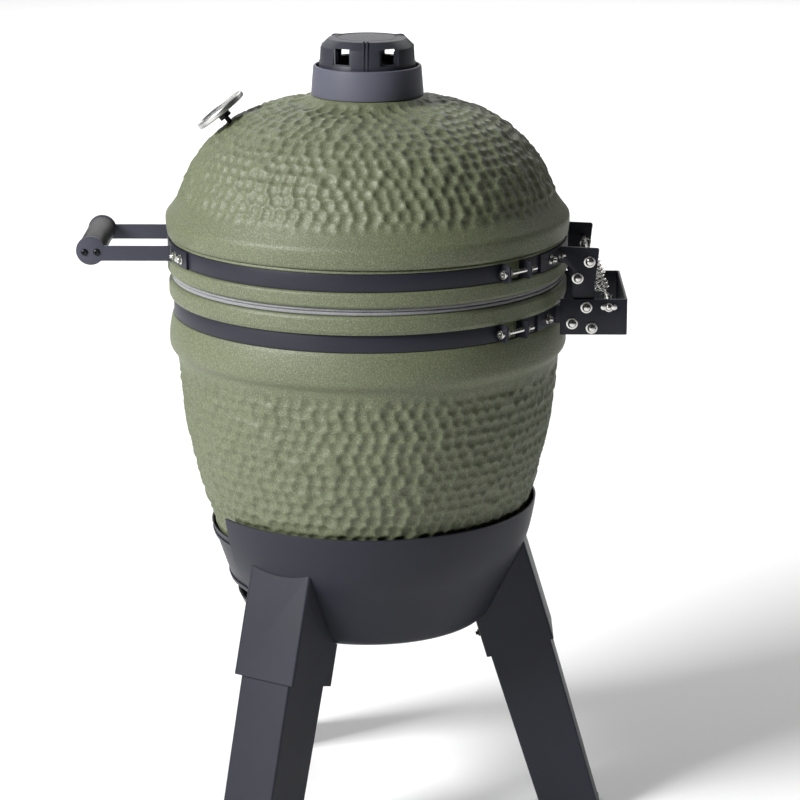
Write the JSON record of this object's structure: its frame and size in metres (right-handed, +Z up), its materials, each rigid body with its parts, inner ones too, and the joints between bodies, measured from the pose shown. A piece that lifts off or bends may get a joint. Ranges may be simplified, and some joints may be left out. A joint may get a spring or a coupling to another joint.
{
  "type": "kamado charcoal grill",
  "caption": "Ceramic kamado grill: hammered egg-shaped body with hinged lid, banded rims, turning top vent and sliding draft door, in a steel cradle on splayed legs.",
  "frame": {"origin": "on the floor under the middle of the whole object's outline", "axes": "+Z up, the hinge towards +Y, the handle and the draft door towards -Y, +X to the right seen from the front"},
  "size_m": [0.5944, 0.7297, 1.0885],
  "materials": {
    "glaze": "hammered olive glaze, satin",
    "coat": "dark blue-grey powder coat",
    "felt": "grey heat-proof felt",
    "steel": "bright zinc and chrome",
    "stainless": "brushed stainless steel",
    "grip": "black anodised tube",
    "black": "black plastic",
    "blackened": "blackened steel",
    "firebrick": "bare refractory ceramic",
    "iron": "seasoned cast iron",
    "vent": "powder-coated cast iron",
    "dial": "white printed dial",
    "glass": "clear flat glass"
  },
  "bodies": {
    "stand": {"cradle_bowl": "coat", "cradle_pad": "felt", "base_shell": "glaze", "base_gasket": "felt", "fire_box": "firebrick", "fire_ring": "firebrick", "charcoal_grate": "iron", "cooking_grate": "stainless", "lower_band_front": "coat", "lower_band_rear": "coat", "lower_band_bolt_left": "steel", "lower_band_bolt_right": "steel", "hinge_box": "coat", "hinge_pivot_rod": "steel", "spring_anchor_rod": "steel", "hinge_box_bolt_front_left": "steel", "hinge_box_bolt_front_right": "steel", "hinge_box_bolt_rear_left": "steel", "hinge_box_bolt_rear_right": "steel", "draft_frame": "coat", "leg_sleeve_rear": "coat", "leg_tube_rear": "coat", "foot_cap_rear": "black", "leg_bolt_rear": "blackened", "leg_sleeve_front_right": "coat", "leg_tube_front_right": "coat", "foot_cap_front_right": "black", "leg_bolt_front_right": "blackened", "leg_sleeve_front_left": "coat", "leg_tube_front_left": "coat", "foot_cap_front_left": "black", "leg_bolt_front_left": "blackened"},
    "draft_door": {"draft_door": "stainless", "draft_door_knob": "black"},
    "lid": {"lid_shell": "glaze", "lid_gasket": "felt", "upper_band_front": "coat", "upper_band_rear": "coat", "upper_band_bolt_left": "steel", "upper_band_bolt_right": "steel", "hinge_upper_bracket": "coat", "spring_hook_rod": "steel", "hinge_plate_bolt_left": "steel", "hinge_plate_bolt_right": "steel", "lift_spring_left": "steel", "lift_spring_right": "steel", "handle_bracket": "coat", "handle_arm_left": "coat", "handle_arm_right": "coat", "handle_grip": "grip", "vent_base": "vent", "vent_sleeve": "vent", "thermometer_case": "steel", "thermometer_dial": "dial", "thermometer_glass": "glass", "thermometer_stem": "blackened"},
    "vent_cap": {"vent_cap": "vent"},
    "needle": {"thermometer_needle": "blackened"}
  },
  "joints": [
    {"name": "lid_hinge", "type": "hinge", "parent": "stand", "child": "lid", "pos_m": [0, 0.3107, 0.7428], "axis": [-1, 0, 0], "range_deg": [0, 56], "stiffness_Nm_per_rad": 20, "springref_deg": 68.75, "deforming": ["lift_spring_left", "lift_spring_right"]},
    {"name": "draft_slide", "type": "hinge", "parent": "stand", "child": "draft_door", "pos_m": [0, 0.02, 0.384], "axis": [0, 0, 1], "range_deg": [0, 30]},
    {"name": "vent_turn", "type": "hinge", "parent": "lid", "child": "vent_cap", "pos_m": [0, 0.02, 1.065], "axis": [0, 0, 1], "range_deg": [0, 30]},
    {"name": "needle_turn", "type": "hinge", "parent": "lid", "child": "needle", "pos_m": [0, -0.176, 0.9905], "axis": [0, -0.6225, 0.7826], "range_deg": [-10, 250]}
  ]
}
